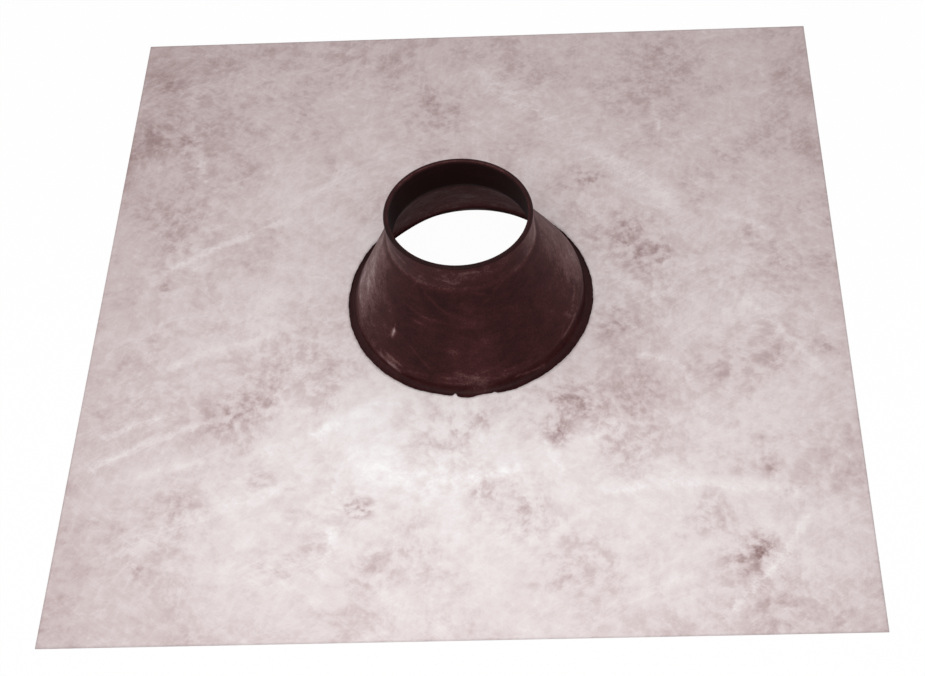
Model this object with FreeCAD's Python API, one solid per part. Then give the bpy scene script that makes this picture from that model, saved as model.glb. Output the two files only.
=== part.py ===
"""Pipe flashing boot: a moulded rubber boot bonded under a square fleece-faced membrane.

Units are millimetres. The origin is on the pipe's axis, in the plane that the part lies on.
+Z points up the collar, along the way a pipe leaves the boot.
"""
import FreeCAD, Part
import math
import os

Vector = FreeCAD.Vector

# Square sheet: a dark backing with a pale fleece laminated on it
SHEET_SIDE = 500.0
BACKING_THICKNESS = 0.6
FLEECE_THICKNESS = 0.4
# The sheet is cut and laid by hand, so its centre lies a little off the pipe's axis
SHEET_SHIFT_X = -1.4
SHEET_SHIFT_Y = -1.4

# Bonding flange, under the sheet
FLANGE_RADIUS = 135.0
FLANGE_THICKNESS = 1.5

# The sheet comes down off the flange's edge over this width
RAMP_WIDTH = 18.0

# Foot of the cone: a low, nearly upright wall that stands on the flange
FOOT_RADIUS = 77.2
FOOT_DRAFT = 0.4
FOOT_HEIGHT = 7.5
FOOT_WALL = 2.5
FOOT_BEVEL = 2.0
CREST_ROUNDING = 20.0

# Ring of flange left bare between the foot and the hole in the sheet
BARE_FLANGE_WIDTH = 5.5

# Collar that grips the pipe
BORE_RADIUS = 44.2
COLLAR_WALL = 3.2
COLLAR_HEIGHT = 20.0
RIM_HEIGHT = 89.5
RIM_OUTER_ROUNDING = 1.2
RIM_INNER_ROUNDING = 1.0

# Waist between the collar and the cone, where the wall is thickest
WAIST_DROP_INSIDE = 3.0
WAIST_OUTER_ROUNDING = 10.0
WAIST_INNER_ROUNDING = 6.0

# Values that follow from the ones above
COLLAR_RADIUS = BORE_RADIUS + COLLAR_WALL
OUTER_WAIST_HEIGHT = RIM_HEIGHT - COLLAR_HEIGHT
INNER_WAIST_HEIGHT = OUTER_WAIST_HEIGHT - WAIST_DROP_INSIDE
CREST_HEIGHT = FLANGE_THICKNESS + FOOT_HEIGHT
CREST_RADIUS = FOOT_RADIUS - FOOT_DRAFT
FOOT_BORE_RADIUS = FOOT_RADIUS - FOOT_WALL
HOLE_RADIUS = FOOT_RADIUS + BARE_FLANGE_WIDTH
RAMP_FOOT_RADIUS = FLANGE_RADIUS + RAMP_WIDTH
MIDDLE_RADIUS = RAMP_FOOT_RADIUS + RAMP_WIDTH


def corner_arc(before, corner, after, rounding):
    """Start, middle and end of the arc that rounds one corner of an outline."""
    towards_before = (before - corner).normalize()
    towards_after = (after - corner).normalize()
    half_angle = towards_before.getAngle(towards_after) / 2
    setback = rounding / math.tan(half_angle)
    bisector = (towards_before + towards_after).normalize()
    nearest = rounding / math.sin(half_angle) - rounding
    start = corner + towards_before * setback
    middle = corner + bisector * nearest
    end = corner + towards_after * setback
    return start, middle, end


def rounded_face(corners):
    """Closed outline in the XZ plane, from (radius, height, rounding) corners in order."""
    points = [Vector(radius, 0, height) for radius, height, _ in corners]
    edges = []
    pen = None
    first = None
    for index, (_, _, rounding) in enumerate(corners):
        corner = points[index]
        if rounding:
            following = points[(index + 1) % len(points)]
            start, middle, end = corner_arc(points[index - 1], corner, following, rounding)
        else:
            start = corner
            end = corner
        if pen:
            edges.append(Part.makeLine(pen, start))
        else:
            first = start
        if rounding:
            edges.append(Part.Arc(start, middle, end).toShape())
        pen = end
    edges.append(Part.makeLine(pen, first))
    return Part.Face(Part.Wire(edges))


def turned(face):
    """A full turn of a face about the pipe's axis."""
    return face.revolve(Vector(0, 0, 0), Vector(0, 0, 1), 360)


def rubber_boot():
    """Collar, cone, foot and bonding flange, moulded as one piece of rubber."""
    return turned(rounded_face([
        (FLANGE_RADIUS, 0, 0),
        (FLANGE_RADIUS, FLANGE_THICKNESS, 0),
        (FOOT_RADIUS, FLANGE_THICKNESS, 0),
        (CREST_RADIUS, CREST_HEIGHT, CREST_ROUNDING),
        (COLLAR_RADIUS, OUTER_WAIST_HEIGHT, WAIST_OUTER_ROUNDING),
        (COLLAR_RADIUS, RIM_HEIGHT, RIM_OUTER_ROUNDING),
        (BORE_RADIUS, RIM_HEIGHT, RIM_INNER_ROUNDING),
        (BORE_RADIUS, INNER_WAIST_HEIGHT, WAIST_INNER_ROUNDING),
        (FOOT_BORE_RADIUS, CREST_HEIGHT, CREST_ROUNDING),
        (FOOT_BORE_RADIUS, FOOT_BEVEL, 0),
        (FOOT_BORE_RADIUS + FOOT_BEVEL, 0, 0),
    ]))


def raised_middle(underside, thickness):
    """Round middle of a sheet layer: it lies on the flange and ramps down to the flat part."""
    raised = underside + FLANGE_THICKNESS
    return turned(rounded_face([
        (HOLE_RADIUS, raised, 0),
        (FLANGE_RADIUS, raised, 0),
        (RAMP_FOOT_RADIUS, underside, 0),
        (MIDDLE_RADIUS, underside, 0),
        (MIDDLE_RADIUS, underside + thickness, 0),
        (RAMP_FOOT_RADIUS, underside + thickness, 0),
        (FLANGE_RADIUS, raised + thickness, 0),
        (HOLE_RADIUS, raised + thickness, 0),
    ]))


def sheet_layer(underside, thickness):
    """One layer of the square sheet, flat round a middle that lies on the flange."""
    corner = Vector(SHEET_SHIFT_X - SHEET_SIDE / 2, SHEET_SHIFT_Y - SHEET_SIDE / 2, underside)
    flat = Part.makeBox(SHEET_SIDE, SHEET_SIDE, thickness, corner)
    window = Part.makeCylinder(MIDDLE_RADIUS, thickness, Vector(0, 0, underside))
    layer = flat.cut(window).fuse(raised_middle(underside, thickness))
    return layer.removeSplitter()


def membrane_backing():
    """Dark waterproof layer, bonded to the top of the flange."""
    return sheet_layer(0, BACKING_THICKNESS)


def fleece_facing():
    """Pale nonwoven laminated on the backing, which the tile adhesive keys into."""
    return sheet_layer(BACKING_THICKNESS, FLEECE_THICKNESS)


def main():
    os.makedirs("parts", exist_ok=True)
    rubber_boot().exportStep("parts/rubber_boot.step")
    membrane_backing().exportStep("parts/membrane_backing.step")
    fleece_facing().exportStep("parts/fleece_facing.step")


main()
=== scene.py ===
# %% [markdown]
# # Pipe flashing boot
#
# A flashing boot seals a pipe where it comes through a floor, a wall or a roof. A moulded
# rubber boot grips the pipe with its collar. Its wide flange is bonded under a square sheet
# with a fleece face, which is then built into the waterproofing. Nothing on it moves.
#
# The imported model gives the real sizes. This script dresses each of its three pieces: the
# rubber, the dark backing of the sheet, and the pale fleece on top of it.

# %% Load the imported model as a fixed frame
import math

import bpy
import numpy as np
from mathutils import Matrix, Vector


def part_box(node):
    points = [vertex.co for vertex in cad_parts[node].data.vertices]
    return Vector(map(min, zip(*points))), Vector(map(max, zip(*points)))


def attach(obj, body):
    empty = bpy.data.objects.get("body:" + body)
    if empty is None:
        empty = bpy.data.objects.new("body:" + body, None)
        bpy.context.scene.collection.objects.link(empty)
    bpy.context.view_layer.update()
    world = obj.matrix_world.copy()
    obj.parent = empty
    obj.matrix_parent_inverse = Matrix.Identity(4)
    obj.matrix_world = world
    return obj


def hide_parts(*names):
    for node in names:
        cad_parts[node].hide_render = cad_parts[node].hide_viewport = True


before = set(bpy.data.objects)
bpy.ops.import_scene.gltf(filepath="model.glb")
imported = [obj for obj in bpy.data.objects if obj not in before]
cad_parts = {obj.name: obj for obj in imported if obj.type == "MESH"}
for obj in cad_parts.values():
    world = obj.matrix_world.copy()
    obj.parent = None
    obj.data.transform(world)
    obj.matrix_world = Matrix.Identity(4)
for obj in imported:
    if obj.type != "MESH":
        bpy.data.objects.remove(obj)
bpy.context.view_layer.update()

MM = 0.001
print("pieces to dress:", sorted(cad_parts))

# %% [markdown]
# ## Sizes
#
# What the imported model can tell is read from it, in metres: the sheet's outline, its layers
# and the boot's height. The boot's section is given as the mould maker would draw it, in
# millimetres: radii from the pipe's axis and heights above the floor.

# %% Read the sizes of the sheet and the boot
backing_low, backing_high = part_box("membrane_backing")
fleece_low, fleece_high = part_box("fleece_facing")
boot_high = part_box("rubber_boot")[1]

SHEET_CENTRE = np.array([fleece_low.x + fleece_high.x, fleece_low.y + fleece_high.y]) / 2
SHEET_HALF_SIDE = (fleece_high.x - fleece_low.x) / 2
BACKING_THICKNESS = fleece_low.z - backing_low.z
FLANGE_THICKNESS = backing_high.z - BACKING_THICKNESS
FLEECE_THICKNESS = fleece_high.z - backing_high.z
FLANGE_RADIUS = boot_high.x
RAMP_WIDTH = 18 * MM
HOLE_RADIUS = 82.4 * MM
RIM_HEIGHT = boot_high.z
print(f"sheet {2000 * SHEET_HALF_SIDE:.0f} mm square, boot {1000 * RIM_HEIGHT:.1f} mm high")

# %% The boot's section, in millimetres
FOOT_RADIUS = 77.2
CREST_RADIUS, CREST_HEIGHT = 76.8, 9
COLLAR_RADIUS, WAIST_HEIGHT = 47.4, 69.5
BORE_RADIUS, INNER_WAIST_HEIGHT = 44.2, 66.5
INNER_FOOT_RADIUS = 74.7
MOUTH_RADIUS, LIP_HEIGHT = 76.4, 1.5
SEEN_FLANGE_RADIUS = 86     # inside it the flange may show, so its points lie closer
CONE_SLOPE = 0.486          # radius lost for each millimetre of height
CONE_SLANT = 1.11           # length along the cone for each millimetre of height

# %% [markdown]
# ## Surfaces from two parameters
#
# Every piece here is a skin that closes on itself both ways, like a tyre's tube: one
# parameter runs round the pipe's axis and the other round the section of the wall. So one
# helper is enough. It takes a grid of points and joins each cell's four corners, wrapping
# round at both ends, which leaves no open edge and no pole.

# %% A closed mesh from a grid of points
def closed_piece(name, grid):
    """Mesh of a grid of points, rows by columns, whose last row and column meet the first.

    Cell (i, j) has the corners (i, j), (i, j+1), (i+1, j+1) and (i+1, j).
    """
    rows, columns, _ = grid.shape
    index = np.arange(rows * columns).reshape(rows, columns)
    beside = np.roll(index, -1, axis=1)
    faces = np.stack([index, beside, np.roll(beside, -1, axis=0), np.roll(index, -1, axis=0)])
    faces = faces.reshape(4, -1).T
    mesh = bpy.data.meshes.new(name)
    mesh.vertices.add(rows * columns)
    mesh.vertices.foreach_set("co", grid.reshape(-1).astype(np.float32))
    mesh.loops.add(faces.size)
    mesh.loops.foreach_set("vertex_index", faces.reshape(-1).astype(np.int32))
    mesh.polygons.add(len(faces))
    mesh.polygons.foreach_set("loop_start", np.arange(0, faces.size, 4, dtype=np.int32))
    mesh.polygons.foreach_set("use_smooth", np.ones(len(faces), bool))
    mesh.update()
    mesh.validate()
    piece = bpy.data.objects.new(name, mesh)
    bpy.context.scene.collection.objects.link(piece)
    print(f"{name}: {2 * len(faces)} triangles")
    return piece


def paint(piece, name, values):
    """Stores one number for each point of a piece, for its material to read by name."""
    layer = piece.data.attributes.new(name, "FLOAT", "POINT")
    layer.data.foreach_set("value", np.asarray(values, np.float32).reshape(-1))

# %% [markdown]
# ## The boot's section
#
# The boot is one moulding, so its skin is one outline turned about the pipe's axis: up the
# outside from the flange, over the rim and down the inside. Each corner of the outline has a
# rounding. Rubber comes out of a mould with soft edges, and they are what catches the light.
# Points lie close together where the skin is seen, and far apart on the flat flange that the
# sheet hides.

# %% An outline with rounded corners
ARC_POINTS = 8


def rounded_outline(corners):
    """Closed outline through corners of (radius, height, rounding, spacing of the next side).

    A corner of rounding R is cut back by R / tan(half its angle) along both of its sides, and
    an arc about the point at R / sin(half its angle) on its bisector joins the two cuts.
    """
    points = np.array([corner[:2] for corner in corners])
    outline = []
    for i, (_, _, rounding, _) in enumerate(corners):
        point = points[i]
        if not rounding:
            outline.append(point[None])
            continue
        back = points[i - 1] - point
        ahead = points[(i + 1) % len(points)] - point
        back, ahead = back / np.linalg.norm(back), ahead / np.linalg.norm(ahead)
        half = math.acos(np.clip(back @ ahead, -1, 1)) / 2
        centre = point + (back + ahead) / np.linalg.norm(back + ahead) * rounding / math.sin(half)
        start = point + back * rounding / math.tan(half) - centre
        end = point + ahead * rounding / math.tan(half) - centre
        turn = math.atan2(start[0] * end[1] - start[1] * end[0], start @ end)
        share = turn * np.linspace(0, 1, ARC_POINTS)[:, None]
        square = np.array([-start[1], start[0]])
        outline.append(centre + np.cos(share) * start + np.sin(share) * square)
    filled = []
    for i, (_, _, _, spacing) in enumerate(corners):
        arc, following = outline[i], outline[(i + 1) % len(corners)]
        side = following[0] - arc[-1]
        count = max(1, round(np.linalg.norm(side) / spacing))
        filled.append(arc[:-1])
        filled.append(arc[-1] + side * np.linspace(0, 1, count, endpoint=False)[:, None])
    return np.concatenate(filled)


def boot_outline():
    """The section of the boot's wall, in millimetres: up the outside and down the inside."""
    flange = FLANGE_RADIUS / MM
    rim = RIM_HEIGHT / MM
    thick = FLANGE_THICKNESS / MM
    return rounded_outline([    # radius, height, rounding, spacing of the next side
        (flange, 0, 0.3, 1),
        (flange, thick, 0.5, 8),
        (SEEN_FLANGE_RADIUS, thick, 0, 1.2),
        (FOOT_RADIUS, thick, 3.2, 1.0),
        (CREST_RADIUS, CREST_HEIGHT, 9, 0.9),
        (COLLAR_RADIUS, WAIST_HEIGHT, 4.5, 0.9),
        (COLLAR_RADIUS, rim, 1.3, 0.6),
        (BORE_RADIUS, rim, 0.9, 1.8),
        (BORE_RADIUS, INNER_WAIST_HEIGHT, 5, 2.3),
        (INNER_FOOT_RADIUS, CREST_HEIGHT, 18, 1.5),
        (INNER_FOOT_RADIUS, LIP_HEIGHT, 1.5, 1),
        (MOUTH_RADIUS, 0, 0.8, 8),
    ])

# %% [markdown]
# ## Turning the section, and letting it lean
#
# Soft rubber never stands quite true. The rim dips a little to one side and to the back, and
# the crest of the foot stands higher on one side than on the other. Both are small tilts that
# fade in with height, added after the section is turned. The lip of the mouth, under the foot,
# is trimmed by hand, so it isn't quite round.

# %% Turn the section about the axis
ROUND_STEPS = 420
RIM_TILT = (-0.031, -0.048)     # rise of the rim along x and along y
RIM_SHIFT = 1.0 * MM
CREST_TILT = 0.055              # rise of the foot's crest along x
CREST_SHIFT = 0.3 * MM


def fade(values, low, high):
    """Smooth step: 0 below low, 1 above high, and 3t^2 - 2t^3 of the way t between them."""
    share = np.clip((values - low) / (high - low), 0, 1)
    return share * share * (3 - 2 * share)


def bump_at(values, centre, width):
    """A smooth hump of 1 at the centre: exp(-((value - centre) / width)^2)."""
    return np.exp(-((values - centre) / width) ** 2)


def turn_from(angle, centre):
    """Angle in degrees measured from a centre angle, between -180 and 180."""
    return (np.degrees(angle) - centre + 180) % 360 - 180


def lip_trim(angle, radius, height):
    """How far out the mouth's lip lies: cut back (+) in one place, left long (-) beside it."""
    lip = fade(-radius, -76.5 * MM, -74 * MM) * fade(-height, -12 * MM, 0)
    trim = 1.6 * bump_at(turn_from(angle, 90), 0, 26) - 1.8 * bump_at(turn_from(angle, 129), 0, 15)
    return lip * trim * MM


def turned(outline):
    """Grid of the outline carried round the z axis, in metres: rows go round, columns along."""
    angle = np.linspace(0, 2 * math.pi, ROUND_STEPS, endpoint=False)[:, None]
    radius, height = outline.T * MM
    radius = radius + lip_trim(angle, radius, height)
    height = np.broadcast_to(height, radius.shape)
    return np.stack([radius * np.cos(angle), radius * np.sin(angle), height], axis=-1)


def let_lean(grid):
    """Tilts and shifts the rim and the foot's crest, by amounts that fade in with height."""
    x, y, z = np.moveaxis(grid, -1, 0)
    top_of_foot = CREST_HEIGHT * MM
    rim = fade(z, 20 * MM, RIM_HEIGHT)
    crest = fade(z, 1.6 * MM, top_of_foot) * (1 - fade(z, top_of_foot, 55 * MM))
    lifted = z + rim * (RIM_TILT[0] * x + RIM_TILT[1] * y) + crest * CREST_TILT * x
    shifted = x - RIM_SHIFT * rim - CREST_SHIFT * crest
    return np.stack([shifted, y, lifted], axis=-1)


boot_grid = turned(boot_outline())
boot = closed_piece("boot_rubber", let_lean(boot_grid))

# %% [markdown]
# ## Handling marks and painted light on the rubber
#
# Black rubber greys where hands and tools touch it, and a few strokes and one nick lie on the
# cone. Light is painted into the same number. The sides of the cone and of the collar are painted
# pale as a sheen. The collar and the foot's wall are painted lighter and the cone under the waist
# darker. A painted highlight runs along the crest of the foot with the rubbed line there. Inside,
# the cone is painted lighter and the collar darkest, as shade, and the cone's inside, which
# nothing has polished, is duller than the outside. Two numbers per point hold this: how rubbed and
# lit the rubber is, from 0 for fresh rubber in shade to 1 for a bare rub mark or a painted
# highlight, and how dull it is.

# %% Paint how rubbed and lit the rubber is
OUTSIDE_DULLNESS = 0.5
INSIDE_DULLNESS = 0.92

# Strokes from one (angle, height) to another, in degrees and millimetres, then the width in
# millimetres and the strength. Some are scuffs and the nick. Others, on the collar near the rim,
# along the crest and the broad soft ones, are painted highlights.
STROKES_AND_HIGHLIGHTS = [
    ((-134.0, 27.5), (-133.4, 31.0), 1.7, 0.40), ((-133.8, 30.5), (-133.3, 35.5), 0.8, 0.26),
    ((-139.0, 11.5), (-125.0, 7.9), 1.1, 0.20), ((-136.0, 15.0), (-124.0, 12.2), 0.9, 0.19),
    ((-132.0, 8.5), (-124.0, 5.5), 1.0, 0.17), ((-134.0, 13.0), (-128.0, 9.5), 1.6, 0.16),
    ((-131.0, 51.5), (-109.0, 47.5), 0.8, 0.17), ((-116.0, 63.5), (-98.5, 53.5), 0.8, 0.16),
    ((-97.0, 52.5), (-78.0, 46.0), 2.8, 0.13), ((-108.0, 48.5), (-84.0, 45.0), 1.0, 0.10),
    ((-89.0, 60.0), (-84.0, 55.0), 1.6, 0.09), ((-122.0, 44.5), (-117.0, 43.5), 1.3, 0.14),
    ((-121.0, 27.5), (-108.5, 17.5), 0.8, 0.20), ((-64.0, 65.0), (-56.0, 67.5), 1.2, 0.14),
    ((-80.0, 66.5), (-72.0, 64.5), 1.2, 0.13), ((-72.0, 60.0), (-66.0, 63.0), 1.6, 0.08),
    ((-38.0, 30.0), (-32.0, 28.5), 1.6, 0.10), ((-27.0, 20.0), (-24.0, 12.0), 1.4, 0.14),
    ((-21.0, 10.5), (-35.0, 8.8), 1.0, 0.18), ((-31.0, 14.0), (-36.0, 10.0), 1.0, 0.14),
    ((-66.0, 5.5), (-50.0, 2.8), 0.9, 0.22), ((-120.0, 11.5), (-109.0, 12.8), 1.0, 0.14),
    ((-106.0, 14.0), (-92.0, 12.0), 1.0, 0.09), ((-95.0, 16.5), (-84.0, 12.5), 1.3, 0.12),
    ((-84.0, 15.0), (-66.0, 19.0), 1.4, 0.07), ((-70.0, 13.0), (-56.0, 11.5), 1.1, 0.12),
    ((-99.0, 30.0), (-94.0, 29.5), 1.8, 0.10), ((-78.0, 34.0), (-72.0, 29.0), 5.0, 0.08),
    ((-86.0, 84.5), (-75.0, 84.0), 1.6, 0.15), ((-98.0, 76.5), (-91.0, 75.0), 2.2, 0.10),
    ((-147.0, 82.0), (-135.0, 79.5), 1.2, 0.18), ((-126.0, 64.0), (-118.0, 78.0), 0.8, 0.09),
    ((-140.0, 40.0), (-147.0, 45.0), 2.8, 0.09), ((-20.0, 16.0), (-10.0, 18.5), 1.8, 0.13),
    ((-12.0, 24.0), (-6.0, 30.0), 2.2, 0.08), ((-128.0, 38.0), (-121.0, 40.0), 1.4, 0.07),
]


def cone_radius(height):
    """Radius of the cone's outside at a height, both in millimetres."""
    return CREST_RADIUS - CONE_SLOPE * (height - CREST_HEIGHT)


def mark(angle, height, start, end, width):
    """Soft stroke between two (angle, height) places, in degrees and mm, given its width.

    Its strength is exp(-(distance to the line / width)^2). The angle is turned into the
    distance along the cone's surface at the middle of the stroke.
    """
    middle = (start[1] + end[1]) / 2
    per_degree = cone_radius(middle) * math.pi / 180
    along = turn_from(angle, start[0]) * per_degree
    line = np.array([(end[0] - start[0]) * per_degree, (end[1] - start[1]) * CONE_SLANT])
    rise = (height - start[1]) * CONE_SLANT
    share = np.clip((along * line[0] + rise * line[1]) / (line @ line), 0, 1)
    gap = np.hypot(along - share * line[0], rise - share * line[1])
    return np.exp(-(gap / width) ** 2)


def rubbing_and_painted_light(grid):
    """How rubbed and lit, and how dull, the boot is at each point.

    Rubbing and painted light are the sum of soft zones by height and side, and of the strokes
    and painted highlights on the outside. The inside and the rim's face have tones of their own,
    with painted light and shade.
    """
    angle = np.arctan2(grid[..., 1], grid[..., 0])
    radius = np.hypot(grid[..., 0], grid[..., 1]) / MM
    height = grid[..., 2] / MM
    wall = cone_radius(np.maximum(height, CREST_HEIGHT))
    outside = np.where(height < WAIST_HEIGHT, radius > wall - 1.0, radius > 46)
    up = fade(height, 6, 13)
    collar = fade(height, WAIST_HEIGHT - 3, WAIST_HEIGHT + 0.5)
    cone = up * (1 - fade(height, 62, 70))
    low = bump_at(height, 12.2, 4.2)
    foot = fade(height, 1.8, 4.5) * (1 - fade(height, 9, 12))
    # Painted light and shade by height: the foot's wall and the collar painted lighter, a painted
    # light line along the waist, and the cone painted darker under it. The flange keeps the base
    # tone.
    tone = 0.15 + 0.11 * foot + 0.04 * up + 0.10 * collar + 0.07 * bump_at(height, 68.5, 2.2)
    tone = tone - 0.05 * fade(height, 40, 64) * (1 - collar)
    # Each side's middle and spread in degrees, how high up it lies, and its strength. The sides of
    # the cone and of the collar are painted sheen. The two low zones are a rubbed line along the
    # crest with a painted highlight. The last two are painted light on the front of the cone and
    # of the foot's wall.
    for centre, spread, zone, strength in (
            (180, 31, cone * fade(height, 11, 20), 0.50), (19, 38, cone, 0.35),
            (-172, 25, collar, 0.33), (6, 30, collar, 0.36),
            (-87, 20, low, 0.13), (-152, 22, low, 0.22),
            (-90, 12, bump_at(height, 25, 9), 0.10), (-82, 14, 1 - fade(height, 7, 11), 0.06)):
        tone = tone + strength * zone * bump_at(turn_from(angle, centre), 0, spread)
    # The strokes: scuffs and the nick, and painted highlights.
    for start, end, width, strength in STROKES_AND_HIGHLIGHTS:
        tone = tone + strength * mark(angle, height, start, end, width)
    # Inside, the cone is painted lighter, as the light that comes in, and the collar painted
    # darkest, as shade.
    inside = 0.63 * (1 - fade(height, 58, 68)) * fade(height, 1, 8)
    tone = np.where(outside, tone, inside)
    # The rim's face is dark, with a painted highlight along its inner edge that is brightest at
    # the back.
    rim = fade(height, 88.0, 88.8)
    patchy = 0.8 + 0.2 * np.sin(5 * angle + 1) * np.sin(11 * angle)
    inner_edge = bump_at(radius, BORE_RADIUS + 0.6, 0.6)
    rim_tone_and_highlight = 0.09 + 0.06 * np.sin(angle) + inner_edge * (0.20 + 0.12 * np.sin(angle)) * patchy
    tone = tone * (1 - rim) + rim_tone_and_highlight * rim
    inside_dullness = INSIDE_DULLNESS + (OUTSIDE_DULLNESS - INSIDE_DULLNESS) * rim
    return tone, np.where(outside, OUTSIDE_DULLNESS, inside_dullness)


boot_tone, boot_dullness = rubbing_and_painted_light(boot_grid)
paint(boot, "rubbing_and_painted_light", boot_tone)
paint(boot, "dull", boot_dullness)
print("strokes painted on the rubber:", len(STROKES_AND_HIGHLIGHTS))

# %% [markdown]
# ## The sheet
#
# A layer of the sheet is a band between two outlines: the round hole and the square edge.
# A point is part of the way from one to the other, so the grid has no pole and its corners
# are true. Over the flange the layer lies higher by the flange's thickness, and it comes
# down on a soft slope beyond it. The underside is plain, so it has points only where it ends
# or bends. The cut pulls the fleece down over the sheet's outer edge, so no dark backing shows
# there.

# %% Points of a layer between the hole and the square edge
SIDE_STEPS = 196
RAMP_POINTS = 8
HEM_SHARE = 0.998       # how far out the sheet is flat; beyond it the hem turns down


def square_edge(inset=0):
    """Points round the square's edge, SIDE_STEPS to a side, counter-clockwise from a corner."""
    along = np.linspace(-1, 1, SIDE_STEPS, endpoint=False)
    ones = np.ones(SIDE_STEPS)
    sides = [(along, -ones), (ones, along), (-along, ones), (-ones, -along)]
    edge = np.concatenate([np.stack(side, axis=-1) for side in sides])
    return SHEET_CENTRE + (SHEET_HALF_SIDE - inset) * edge


def dressed_height(radius):
    """How far the flange lifts the sheet: its full thickness over it, fading out on the ramp."""
    return FLANGE_THICKNESS * (1 - fade(radius, FLANGE_RADIUS, FLANGE_RADIUS + RAMP_WIDTH))


def layer_rows(hole_radius, inset, place_rows):
    """Flat points of a layer, in metres: rows go round, columns along each ray.

    hole_radius gives the hole's radius for each angle, and the edge lies in by the inset.
    place_rows turns a ray's two end radii into the radii of all its points.
    """
    edge = square_edge(inset)
    reach = np.linalg.norm(edge, axis=-1, keepdims=True)
    hole = hole_radius(np.arctan2(edge[:, 1], edge[:, 0]))[:, None]
    return place_rows(hole, reach)[..., None] * (edge / reach)[:, None]


def underside_rows(hole, reach):
    """Radii of the underside's points, from the edge in: only where it ends or bends."""
    hem = hole + HEM_SHARE * (reach - hole)
    ramp = FLANGE_RADIUS + RAMP_WIDTH * np.linspace(1, 0, RAMP_POINTS)
    return np.hstack([reach, hem, np.broadcast_to(ramp, (len(reach), RAMP_POINTS)), hole])


def layer_grid(underside, hole_radius, top_steps, top_height, inset=0, hem=0):
    """Closed skin of one layer: its top from the hole out, its edge, and its underside back.

    Both faces rise with the flange under them, and top_height adds the layer's own thickness.
    The outer edge hangs down by the hem.
    """
    shares = np.linspace(0, 1, top_steps)
    top = layer_rows(hole_radius, inset, lambda hole, reach: hole + shares * (reach - hole))
    bottom = layer_rows(hole_radius, inset, underside_rows)
    skins = [np.dstack([flat, underside + dressed_height(np.linalg.norm(flat, axis=-1)) + more])
             for flat, more in ((top, top_height(top)), (bottom, 0))]
    skins[1][:, 0, 2] -= hem
    return np.concatenate(skins, axis=1)

# %% [markdown]
# ## Fleece: bunched fibres and thin places
#
# A nonwoven is never even. Its fibres bunch into long pale streaks, and between them it
# leaves thin places where the dark backing shows. Both are painted on the mesh as numbers
# from 0 to 1. The mesh follows them too: streaks stand a little proud and thin places sink.

# %% Thin places and streaks, in millimetres from the middle of the sheet
THIN_PLACES = [     # x, y, radius, strength
    (-235, 153, 20, 0.40), (-230, 207, 14, 0.40), (-194, 66, 25, 0.25), (-204, 48, 11, 0.30),
    (-163, 117, 16, 0.25), (-31, 173, 26, 0.32), (-97, 225, 26, 0.24), (-61, 212, 18, 0.24),
    (25, 230, 20, 0.12), (102, 184, 28, 0.22), (148, 235, 24, 0.22),
    (84, 102, 12, 0.50), (112, 58, 18, 0.40), (122, 30, 20, 0.40), (184, 122, 14, 0.25),
    (194, 46, 11, 0.22), (205, 15, 34, 0.26), (163, -56, 24, 0.28), (204, -56, 20, 0.20),
    (235, -46, 7, 0.40), (97, -25, 22, 0.35), (68, -88, 18, 0.60), (59, -110, 9, 0.95),
    (107, -84, 28, 0.40), (189, -117, 6, 0.50), (191, -138, 8, 0.50), (204, -158, 7, 0.40),
    (181, -194, 10, 0.85), (168, -204, 12, 0.40), (153, -166, 14, 0.35), (106, -126, 20, 0.35),
    (140, -126, 12, 0.20), (36, -160, 23, 0.38), (12, -152, 8, 0.40), (-8, -108, 22, 0.42),
    (12, -100, 7, 0.45), (-138, -82, 18, 0.42), (-148, -100, 20, 0.32), (-112, -36, 26, 0.32),
    (-97, -66, 20, 0.30), (-64, -161, 8, 1.00), (-70, -154, 14, 0.25), (-54, -199, 13, 0.45),
    (-128, -140, 10, 0.40), (-173, -158, 24, 0.24), (-97, -173, 22, 0.20), (-25, -191, 20, 0.28),
    (56, -209, 13, 0.35), (-196, -201, 6, 0.40), (77, -194, 20, 0.20), (184, -222, 34, 0.34),
    (-209, 15, 5, 0.65), (-199, -77, 30, 0.16), (-200, 165, 45, 0.16), (90, 30, 42, 0.14),
]

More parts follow.
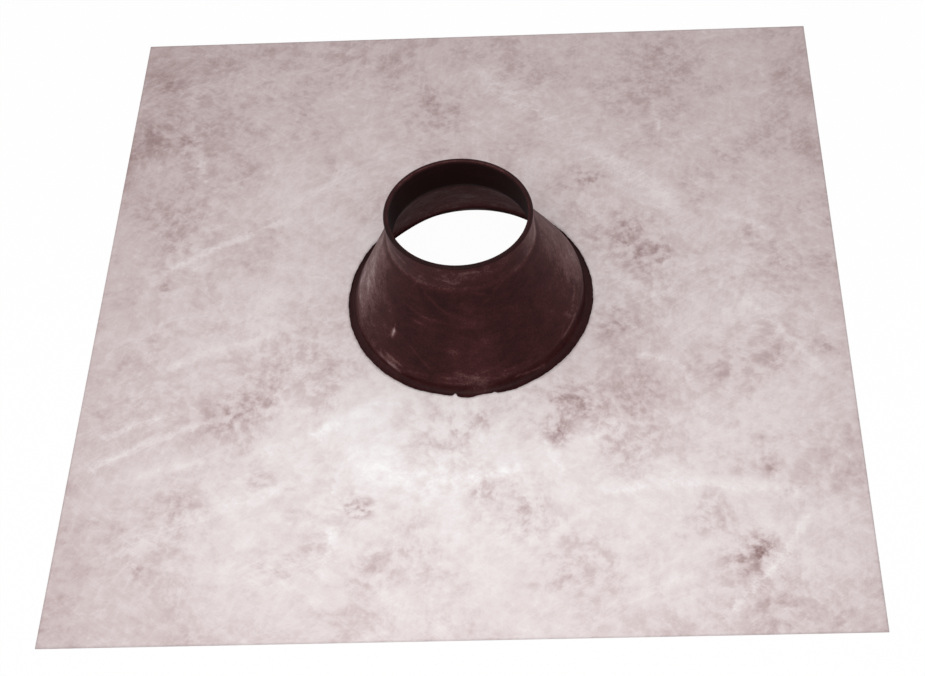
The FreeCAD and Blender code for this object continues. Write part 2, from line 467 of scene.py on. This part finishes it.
STREAKS = [     # start, end, width, bow, strength
    ((-245, -134), (-156, -92), 2.8, 4, 0.8), ((-143, -125), (-48, -78), 3.6, -4, 0.6),
    ((-212, -136), (-143, -124), 3.2, 3, 0.5), ((-221, 21), (-116, 78), 2.6, 3, 0.7),
    ((-243, -112), (-165, -83), 2.6, 5, 0.5), ((-206, -57), (-116, -27), 3.0, 5, 0.4),
    ((-74, -128), (8, -144), 9.0, -3, 0.5), ((-6, -143), (46, -129), 3.6, -3, 0.8),
    ((38, -100), (66, -142), 4.2, 2, 0.5), ((72, -154), (222, -160), 5.0, 9, 0.65),
    ((216, -160), (149, -243), 2.6, 7, 1.0), ((-222, -196), (-90, -136), 5.5, 4, 0.5),
    ((-81, -128), (-92, -238), 4.2, 6, 0.5), ((-14, 220), (66, 150), 11, 4, 0.4),
    ((58, 152), (158, 58), 8.0, 6, 0.4), ((164, 12), (237, -76), 3.2, 5, 0.5),
    ((100, -70), (140, -12), 2.2, -3, 0.3), ((110, -50), (146, -63), 2.8, 2, 0.6),
    ((128, 188), (136, 142), 2.2, 2, 0.5), ((-212, 215), (-184, 92), 4.4, -5, 0.4),
    ((-221, 126), (-197, 156), 2.2, 1, 0.5), ((176, 68), (216, 44), 2.8, 2, 0.6),
    ((-200, 204), (-134, 196), 13, 2, 0.25), ((-110, 98), (-80, 124), 9.0, 1, 0.3),
    ((98, 12), (132, -8), 4.5, 2, 0.4), ((74, -113), (106, -107), 6.5, 2, 0.6),
    ((18, -188), (70, -174), 8.5, 2, 0.35), ((-156, -206), (-76, -212), 12, 3, 0.3),
    ((-4, -243), (-52, -222), 6.0, 3, 0.35), ((96, -232), (146, -208), 3.6, 2, 0.35),
]


def from_middle(flat):
    """The x and y of flat points, in millimetres from the middle of the sheet."""
    return np.moveaxis((flat - SHEET_CENTRE) / MM, -1, 0)


def thin_places(x, y):
    """Sum of round soft spots, each strength * exp(-(distance / radius)^2)."""
    total = sum(strength * np.exp(-((x - at_x) ** 2 + (y - at_y) ** 2) / radius ** 2)
                for at_x, at_y, radius, strength in THIN_PLACES)
    return np.clip(total, 0, 1)


def streak_lines(x, y):
    """The strongest of the streaks at each point.

    A streak is a bowed line: halfway along, it lies off its chord by the bow. Its strength is
    exp(-(distance / width)^2), and it fades out over a fifth of its length at each end.
    """
    total = np.zeros(x.shape)
    for start, end, width, bow, strength in STREAKS:
        chord = np.subtract(end, start)
        length = np.hypot(*chord)
        along = ((x - start[0]) * chord[0] + (y - start[1]) * chord[1]) / length ** 2
        aside = ((y - start[1]) * chord[0] - (x - start[0]) * chord[1]) / length
        share = np.clip(along, 0, 1)
        gap = aside - bow * 4 * share * (1 - share)
        ends = fade(along, 0, 0.2) * (1 - fade(along, 0.8, 1))
        total = np.maximum(total, strength * ends * np.exp(-(gap / width) ** 2))
    return total

# %% [markdown]
# ## Painted light, broad tones and the cut edge
#
# The fleece also has broad tones, most of them painted light. A painted pool of light makes it
# whitest in front of the boot, and painted shade darkens it towards the corners and the border.
# It is also darker beside the boot and at the front left. The hole is cut with a knife, so its
# edge wanders and frays.

# %% Make the fleece and the backing
FLEECE_ROWS = 112
BACKING_ROWS = 48
RELIEF = 0.12 * MM              # how far the fleece rises along streaks and sinks where thin
HEM_CLEARANCE = 0.05 * MM       # how far the fleece's hem stays above the floor
BACKING_INSET = 0.45 * MM       # how far the backing's outer edge lies inside the fleece's
BACKING_CUT_BACK = 0.1 * MM     # the same at the hole

# The hole's edge: the number of waves round it and their size in millimetres. Then frayed
# tips, or bites where the depth is negative: angle and width in degrees, depth in millimetres.
EDGE_WAVES = [(23, 0.10), (57, 0.08), (131, 0.06)]
EDGE_TIPS = [(-95.4, 0.8, 2.2), (-77.6, 0.9, 0.8), (-82, 5, 1.3),
             (-101, 8, 0.8), (-90, 3.5, -0.9), (-67, 5, -0.4)]

# Pale (or, where negative, darker) areas of the fleece: middle, reach along x and y, strength.
# The two pale ones in front are a painted pool of light. The darker ones lie beside the boot and
# at the front left.
LIGHT_AND_TONE_AREAS = [
    ((20, -125), (290, 230), 0.75), ((-48, -122), (92, 50), 0.5),
    ((104, -64), (62, 48), -0.4), ((-168, -104), (52, 36), -0.2),
]


def cut_edge(angle):
    """Radius of the hand-cut hole: a slow wander, a fine raggedness and a few frayed tips."""
    radius = HOLE_RADIUS + 0.6 * MM * np.cos(angle + 0.6) + 0.3 * MM * np.cos(3 * angle + 1.0)
    for waves, size in EDGE_WAVES:
        radius = radius + size * MM * np.sin(waves * angle + waves)
    for place, width, depth in EDGE_TIPS:
        radius = radius - depth * MM * bump_at(turn_from(angle, place), 0, width)
    return radius


def fleece_top(flat):
    """Height of the fleece above its own underside: sunk where thin, raised along streaks."""
    x, y = from_middle(flat)
    return FLEECE_THICKNESS + RELIEF * (streak_lines(x, y) - thin_places(x, y))


def whiteness_and_painted_light(x, y):
    """Sum of the broad areas, each strength * exp(-(x / reach)^2 - (y / reach)^2) from its middle.

    The front is a little whiter, as painted light. The left corners and the border are a little
    darker, as painted shade.
    """
    total = sum(
        strength * np.exp(-((x - middle[0]) / reach[0]) ** 2 - ((y - middle[1]) / reach[1]) ** 2)
        for middle, reach, strength in LIGHT_AND_TONE_AREAS)
    front_light = fade(-y, 125, 175)
    corners = fade(-x, 130, 260) * (fade(y, 20, 200) + fade(-y, 100, 250))
    border_shade = fade(np.maximum(abs(x), -y), 195, 255)
    return total + 0.1 * front_light - 0.15 * corners - 0.12 * border_shade


fleece_grid = layer_grid(
    BACKING_THICKNESS, cut_edge, FLEECE_ROWS, fleece_top, hem=BACKING_THICKNESS - HEM_CLEARANCE)
fleece = closed_piece("sheet_fleece", fleece_grid)
# The white number holds the broad tones: painted light in front, painted shade at the corners and
# border.
for name, strength_at in (
        ("thin", thin_places), ("streak", streak_lines), ("white", whiteness_and_painted_light)):
    paint(fleece, name, strength_at(*from_middle(fleece_grid[..., :2])))

backing_grid = layer_grid(
    0, lambda angle: cut_edge(angle) + BACKING_CUT_BACK, BACKING_ROWS,
    lambda flat: BACKING_THICKNESS, inset=BACKING_INSET)
backing = closed_piece("sheet_backing", backing_grid)

# %% [markdown]
# ## Writing materials as sums
#
# A material is arithmetic on patterns. One small class stands for a value that varies over
# the surface. Adding, multiplying or subtracting such values makes the Math nodes, so a finish
# reads like a formula. Every other node comes from one method of the finish.

# %% Values that turn arithmetic into nodes
class Pattern:
    """One output of a node, which can be used in Python's sums."""

    def __init__(self, finish, socket):
        self.finish = finish
        self.socket = socket

    def math(self, operation, *others):
        """A Math node that takes this value first and then the others."""
        inputs = dict(enumerate((self, *others)))
        return self.finish.node("Math", {"operation": operation}, inputs)

    def __add__(self, other):
        return self.math("ADD", other)

    def __sub__(self, other):
        return self.math("SUBTRACT", other)

    def __mul__(self, other):
        return self.math("MULTIPLY", other)

    def __rsub__(self, other):
        return self.finish.node("Math", {"operation": "SUBTRACT"}, {0: other, 1: self})

    __radd__ = __add__
    __rmul__ = __mul__

    def between(self, low, high):
        """0 at low, 1 at high, and smooth on the way. low may be the larger of the two."""
        ends = {"Value": self, "From Min": low, "From Max": high}
        return self.finish.node("MapRange", {"interpolation_type": "SMOOTHSTEP"}, ends)


class Finish:
    """The nodes of a material, or of the world, under construction."""

    def __init__(self, owner):
        owner.use_nodes = True
        self.owner = owner
        self.tree = owner.node_tree
        self.tree.nodes.clear()

    def node(self, kind, settings=None, inputs=None, output=0):
        """Adds a node: its settings first, then the values or links of its sockets."""
        made = self.tree.nodes.new("ShaderNode" + kind)
        for key, value in (settings or {}).items():
            setattr(made, key, value)
        for key, value in (inputs or {}).items():
            if isinstance(value, Pattern):
                self.tree.links.new(value.socket, made.inputs[key])
            else:
                made.inputs[key].default_value = value
        return Pattern(self, made.outputs[output])

    def place(self):
        """Where a point is, in metres."""
        return self.node("TexCoord", output="Object")

    def painted(self, name):
        """A number that was painted on the mesh."""
        return self.node("Attribute", {"attribute_name": name}, output="Fac")

    def noise(self, place, size, detail=2.0, roughness=0.5):
        """Soft random pattern around 0.5, with blotches about size metres across."""
        settings = {"Vector": place, "Scale": 1 / size, "Detail": detail, "Roughness": roughness}
        return self.node("TexNoise", {}, settings)

    def stretched(self, place, turn, length):
        """Places turned by an angle in degrees and drawn out, so that patterns become strands."""
        settings = {"Vector": place, "Rotation": (0, 0, math.radians(turn)),
                    "Scale": (length, 1, 1)}
        return self.node("Mapping", {"vector_type": "TEXTURE"}, settings)

    def swirled(self, place, size, amount):
        """Places pushed about by up to half of amount metres, by noise of the given size."""
        push = self.node("TexNoise", {}, {"Vector": place, "Scale": 1 / size}, output="Color")
        push = self.node("VectorMath", {"operation": "SUBTRACT"}, {0: push, 1: (0.5, 0.5, 0.5)})
        push = self.node("VectorMath", {"operation": "SCALE"}, {0: push, "Scale": amount})
        return self.node("VectorMath", {"operation": "ADD"}, {0: place, 1: push})

    def blend(self, share, first, second):
        """Colour that goes from first to second as share goes from 0 to 1."""
        return self.node("Mix", {"data_type": "RGBA"}, {0: share, 6: first, 7: second}, output=2)

    def ramp(self, share, stops):
        """Colour by share through stops of (position, seen colour)."""
        ramp = self.node("ValToRGB", {}, {0: share})
        elements = ramp.socket.node.color_ramp.elements
        for position, _ in stops[1:-1]:
            elements.new(position)
        for element, (position, seen) in zip(elements, stops):
            element.position = position
            element.color = colour(*seen)
        return ramp

    def bump(self, height, strength, distance):
        """Normal of a surface that height moves in and out by up to distance metres."""
        settings = {"Height": height, "Strength": strength, "Distance": distance}
        return self.node("Bump", {}, settings)

    def direct_ray(self):
        """1 for rays that show a surface in the picture or in gloss and glass, otherwise 0."""
        rays = [self.node("LightPath", output=f"Is {kind} Ray")
                for kind in ("Camera", "Glossy", "Transmission")]
        return (rays[0] + rays[1] + rays[2]).math("MINIMUM", 1.0)

    def surface(self, tone, roughness, others):
        """Principled surface on the material's output."""
        inputs = {"Base Color": tone, "Roughness": roughness, **others}
        self.output(self.node("BsdfPrincipled", {}, inputs))
        return self.owner

    def output(self, shader):
        """Joins a finished shader to the output of the material or the world."""
        kind = "World" if isinstance(self.owner, bpy.types.World) else "Material"
        end = self.tree.nodes.new("ShaderNodeOutput" + kind)
        self.tree.links.new(shader.socket, end.inputs["Surface"])


def colour(red, green, blue):
    """A colour as it is seen, 0 to 255, turned into the linear values that nodes hold."""
    seen = np.array([red, green, blue]) / 255
    linear = np.where(seen <= 0.04045, seen / 12.92, ((seen + 0.055) / 1.055) ** 2.4)
    return (*linear.tolist(), 1.0)

# %% [markdown]
# ## Fleece material
#
# Seen close, fleece is pale strands that swirl over each other at all angles, and between
# them the mat is thin and pinkish. A strand is ridged noise: where noise crosses its middle
# value there is a thin winding line. Sets of such lines, drawn out in several directions,
# make the web. Soft clouds of noise under it make it denser here and thinner there. In the
# thin places the dark backing shows in small blotches. They are noise of three sizes, which
# rounded cells gather into spots.

# %% Fleece material
STRAND_STRETCH = 16
WEB = [     # direction in degrees, size in millimetres, width of the line in noise, weight
    (27, 7, 0.03, 0.40), (-41, 6, 0.03, 0.35), (84, 7, 0.04, 0.25),
    (-12, 4, 0.05, 0.20), (58, 4, 0.05, 0.20),
]


def strands(finish, place, turn, size, width):
    """Thin pale lines, 1 on the line and 0 beside it, mostly along one direction."""
    drawn = finish.stretched(place, turn, STRAND_STRETCH)
    noise = finish.noise(drawn, size, detail=1, roughness=0.5)
    return (noise - 0.5).math("ABSOLUTE").between(width, 0)


def fleece_material():
    """Pale where the fibres cover well and where light is painted, pinkish and blotched where they
    are thin.
    """
    finish = Finish(bpy.data.materials.new("fleece"))
    place = finish.place()
    thin, streak, white = (finish.painted(name) for name in ("thin", "streak", "white"))
    swirled = finish.swirled(place, 110 * MM, 30 * MM)
    wavy = finish.swirled(swirled, 12 * MM, 3 * MM)
    web = sum(strands(finish, swirled, turn, size * MM, width) * weight
              for turn, size, width, weight in WEB)

    # Noise around 0, from broad to fine, and rounded cells
    cloud = finish.noise(swirled, 55 * MM, detail=3, roughness=0.6) - 0.5
    patch = finish.noise(wavy, 15 * MM, detail=4, roughness=0.65) - 0.5
    grain = finish.noise(wavy, 3.2 * MM, detail=3, roughness=0.7) - 0.5
    dab = finish.noise(wavy, 6 * MM, detail=2, roughness=0.5) - 0.5
    cell = finish.node("TexVoronoi", {"feature": "SMOOTH_F1"},
                       {"Vector": finish.swirled(wavy, 4 * MM, 4 * MM), "Scale": 1 / (9 * MM),
                        "Smoothness": 0.7})
    spot = cell.between(0.6, 0.15)

    # How bare the mat is, where its blotches are, and how well the fleece covers in the end
    bare = thin * (patch * 1.8 + 1) + cloud.between(0.05, -0.12) * 0.16 + 0.06
    blotch = (patch * 0.7 + dab * 0.55 + grain * 0.3 - spot * 0.13 + 0.035).between(0.16, -0.20)
    # The painted white number carries painted light in front and painted shade at the corners and
    # border.
    cover = (white * 0.34 + cloud * 0.26 + patch * (white * 0.20 + 0.16) + dab * 0.11
             + grain * 0.12 + web * 0.09
             + streak * (web * 0.8 + patch * 1.4 + grain * 0.8 + 0.9) * 0.17
             - blotch * bare * (white * 0.22 + 0.25) - thin * 0.11 + 0.436)

    tone = finish.ramp(cover, (
        (0.00, (112, 82, 81)), (0.25, (167, 143, 142)), (0.45, (205, 187, 187)),
        (0.65, (227, 215, 215)), (0.85, (239, 232, 232)), (1.00, (248, 245, 245))))
    height = web * 0.6 + grain * 0.8 + streak * 0.5
    normal = finish.bump(height, 0.22, 0.5 * MM)
    return finish.surface(tone, 0.9, {"Normal": normal, "Specular IOR Level": 0.15})


fleece.data.materials.append(fleece_material())

# %% [markdown]
# ## Rubber material
#
# The colour comes from how rubbed the rubber is and from the light, shade and sheen painted
# into the same number, with the blotches and the fine grain that moulded rubber has. The dull
# inside is a touch redder. A low specular level keeps the skin dark where it faces the light,
# and it still shines along its edges.

# %% Rubber material
def rubber_material():
    """Dark red-brown, greyer the more it is rubbed or lit by painted light and sheen, with
    blotches, bloom and grain.
    """
    finish = Finish(bpy.data.materials.new("rubber"))
    place = finish.place()
    swirled = finish.swirled(place, 30 * MM, 4 * MM)
    flattened = finish.node("Mapping", {"vector_type": "TEXTURE"},
                            {"Vector": swirled, "Scale": (1, 1, 0.5)})
    cloud = finish.noise(swirled, 20 * MM, detail=4, roughness=0.65) - 0.5
    bloom = finish.noise(flattened, 7 * MM, detail=4, roughness=0.7) - 0.5
    grain = finish.noise(place, 1.3 * MM, detail=3, roughness=0.7) - 0.5
    # How rubbed the rubber is, with painted light, shade, sheen and highlights in the same number.
    rubbing_and_light = finish.painted("rubbing_and_painted_light")
    shade = (rubbing_and_light * (bloom * 0.6 + cloud * 0.7 + grain * 0.35 + 1)
             + cloud * 0.30 + bloom * 0.18 + grain * 0.36)
    tone = finish.ramp(shade, (
        (0.00, (27, 7, 7)), (0.15, (44, 15, 16)), (0.35, (61, 28, 29)),
        (0.60, (101, 70, 70)), (1.00, (178, 158, 158))))
    dull = finish.painted("dull")
    inside = dull.between(OUTSIDE_DULLNESS, INSIDE_DULLNESS)
    tone = finish.blend(inside * shade.between(0.1, 0.4) * 0.55, tone, colour(72, 22, 24))
    normal = finish.bump(bloom * 0.6 + grain * 0.4, 0.12, 0.3 * MM)
    return finish.surface(tone, dull, {"Normal": normal, "Specular IOR Level": 0.1})


boot.data.materials.append(rubber_material())

# %% [markdown]
# ## Backing material
#
# The backing is a dark film with a fine grain. Little of it is seen from above. From below it
# is the whole underside, so it gets its own soft blotches and a faint calendered grain.

# %% Backing material
def backing_material():
    """Dark film, softly clouded."""
    finish = Finish(bpy.data.materials.new("backing"))
    place = finish.place()
    cloud = finish.noise(place, 40 * MM, detail=4, roughness=0.6)
    grain = finish.noise(place, 1.5 * MM, detail=3)
    tone = finish.blend(cloud.between(0.3, 0.7), colour(40, 26, 26), colour(58, 42, 42))
    normal = finish.bump(grain, 0.2, 0.3 * MM)
    return finish.surface(tone, 0.6, {"Normal": normal, "Specular IOR Level": 0.25})


backing.data.materials.append(backing_material())

# %% [markdown]
# ## Tie the pieces to the model
#
# The whole thing is one body. Each dressed piece rides on it and stands for its imported node.
# The fleece is a cut sheet that was never stretched or folded, so its flat size is its size.

# %% Ride and replace
for piece, node, slot in (
        (boot, "rubber_boot", "rubber"),
        (backing, "membrane_backing", "backing"),
        (fleece, "fleece_facing", "fleece")):
    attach(piece, "root")
    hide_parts(node)

# %% [markdown]
# ## Floor, light and camera
#
# The part lies on a plain pale floor. To a camera the floor is nearly white, so the object
# stands free, and it still takes a faint, soft shadow.

# %% Floor
FLOOR_REACH = 3.0
FLOOR_GAP = 0.1 * MM
FLOOR_GLOW = 0.97       # how much of what a camera sees of the floor is plain white


def floor_material():
    """Matt and pale to light, and nearly plain white to the camera."""
    finish = Finish(bpy.data.materials.new("floor"))
    matt = finish.node("BsdfDiffuse", {}, {"Color": (0.9, 0.9, 0.9, 1)})
    white = finish.node("Emission", {}, {"Color": (1, 1, 1, 1), "Strength": 1.0})
    seen = finish.direct_ray() * FLOOR_GLOW
    finish.output(finish.node("MixShader", {}, {0: seen, 1: matt, 2: white}))
    return finish.owner


floor_corners = [(x * FLOOR_REACH, y * FLOOR_REACH, 0)
                 for x, y in ((-1, -1), (1, -1), (1, 1), (-1, 1))]
floor_mesh = bpy.data.meshes.new("floor")
floor_mesh.from_pydata(floor_corners, [], [(0, 1, 2, 3)])
floor = bpy.data.objects.new("floor", floor_mesh)
floor.location.z = -FLOOR_GAP
bpy.context.scene.collection.objects.link(floor)
floor_mesh.materials.append(floor_material())

# %% Lamps and world
ROOM_BRIGHTNESS = 0.64


def lamp(name, place, target, size, power):
    """A square soft lamp that faces a target point: metres, and watts for its power."""
    data = bpy.data.lights.new(name, "AREA")
    data.size = size
    data.energy = power
    made = bpy.data.objects.new(name, data)
    bpy.context.scene.collection.objects.link(made)
    made.location = place
    made.rotation_euler = (Vector(target) - Vector(place)).to_track_quat("-Z", "Y").to_euler()


def studio_world():
    """Plain white where it is seen, and a soft even light on everything else."""
    finish = Finish(bpy.data.worlds.new("studio"))
    room = finish.node("Background", {}, {"Color": (1, 1, 1, 1), "Strength": ROOM_BRIGHTNESS})
    white = finish.node("Background", {}, {"Color": (1, 1, 1, 1), "Strength": 1.0})
    finish.output(finish.node("MixShader", {}, {0: finish.direct_ray(), 1: room, 2: white}))
    return finish.owner


lamp("key", place=(0.0, -0.32, 0.60), target=(0.0, -0.08, 0), size=0.30, power=1.55)
lamp("left_fill", place=(-1.2, 0.1, 0.8), target=(0, 0, 0.03), size=0.8, power=1.2)
bpy.context.scene.world = studio_world()
bpy.context.scene.view_settings.view_transform = "Standard"

# %% [markdown]
# ## Where the camera stands
#
# The camera looks down at the front from a little to the right. Its angles and its distance
# follow from the way the square sheet narrows towards the back.

# %% Camera
CAMERA_AZIMUTH = math.radians(3.163)
CAMERA_ELEVATION = math.radians(54.41)
CAMERA_ROLL = math.radians(-4.051)
CAMERA_DISTANCE = 1.0611
SENSOR_WIDTH = 36           # in millimetres, as is the lens
LENS = 62.506
LENS_SHIFT = -0.0782        # a share of the picture's width
AIM = Vector((SHEET_CENTRE[0] + 0.0451, SHEET_CENTRE[1] - 0.0347,
              BACKING_THICKNESS + FLEECE_THICKNESS))

backwards = Vector((math.sin(CAMERA_AZIMUTH) * math.cos(CAMERA_ELEVATION),
                    -math.cos(CAMERA_AZIMUTH) * math.cos(CAMERA_ELEVATION),
                    math.sin(CAMERA_ELEVATION)))
level = Vector((math.cos(CAMERA_AZIMUTH), math.sin(CAMERA_AZIMUTH), 0))
upright = backwards.cross(level)
right = math.cos(CAMERA_ROLL) * level + math.sin(CAMERA_ROLL) * upright
up = backwards.cross(right)

camera_data = bpy.data.cameras.new("camera")
camera_data.sensor_width = SENSOR_WIDTH
camera_data.lens = LENS
camera_data.shift_x = LENS_SHIFT
camera = bpy.data.objects.new("camera", camera_data)
bpy.context.scene.collection.objects.link(camera)
facing = Matrix((right, up, backwards)).transposed()
camera.matrix_world = Matrix.LocRotScale(AIM + backwards * CAMERA_DISTANCE, facing, None)
bpy.context.scene.camera = camera
print("camera at", [round(value, 3) for value in camera.location])
